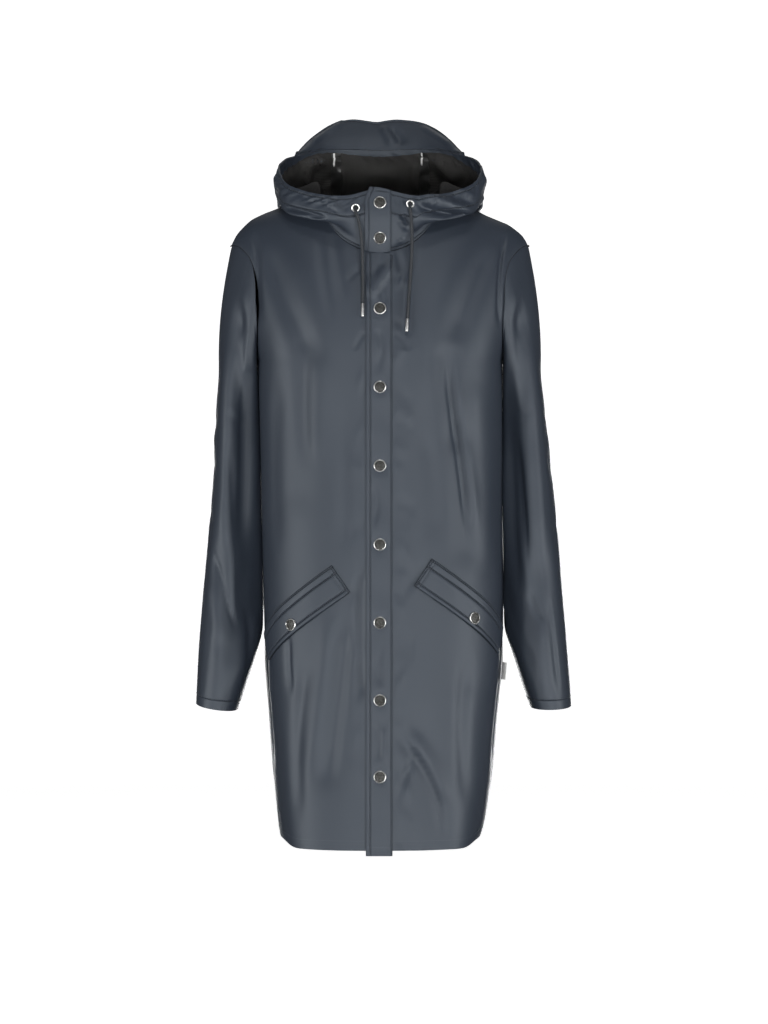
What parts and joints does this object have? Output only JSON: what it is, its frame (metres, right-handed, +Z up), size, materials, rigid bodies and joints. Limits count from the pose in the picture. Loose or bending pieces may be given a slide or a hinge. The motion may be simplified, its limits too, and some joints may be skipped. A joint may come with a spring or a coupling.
{
  "type": "hooded raincoat",
  "caption": "Long hooded raincoat in coated cloth, snapped shut and filled out as if worn, with slanting pocket flaps, a drawcord at the hood and a stiff brim on it.",
  "frame": {"origin": "midway between the two points where the shoulder lines meet the neck, a little above the neck opening's level, where the wearer or a hanger holds the coat", "axes": "+Z up, the front faces -Y, +X is the wearer's left"},
  "size_m": [0.523, 0.3149, 1.0364],
  "materials": {
    "shell": "polyurethane-coated knit, satin, dark slate blue outside and black knit inside",
    "snap_metal": "dull nickel",
    "drawcord": "braided, matt",
    "label": "woven, plain white"
  },
  "bodies": {
    "root": {"front_left": "shell", "front_right": "shell", "back": "shell", "placket": "shell", "placket_top": "shell", "hood_side_left": "shell", "hood_center": "shell", "hood_side_right": "shell", "hood_facing": "shell", "hood_brim": "shell", "sleeve_left": "shell", "sleeve_right": "shell", "pocket_flap_left": "shell", "pocket_flap_right": "shell", "pocket_snap_left": "snap_metal", "pocket_snap_right": "snap_metal", "snap_cap_1": "snap_metal", "snap_cap_2": "snap_metal", "snap_cap_3": "snap_metal", "snap_cap_4": "snap_metal", "snap_cap_5": "snap_metal", "snap_cap_6": "snap_metal", "snap_cap_7": "snap_metal", "snap_cap_8": "snap_metal", "snap_cap_9": "snap_metal", "eyelet_left": "snap_metal", "eyelet_right": "snap_metal", "cord_tip_left": "snap_metal", "cord_tip_right": "snap_metal", "cord_left": "drawcord", "cord_right": "drawcord", "side_label": "label"}
  },
  "joints": []
}
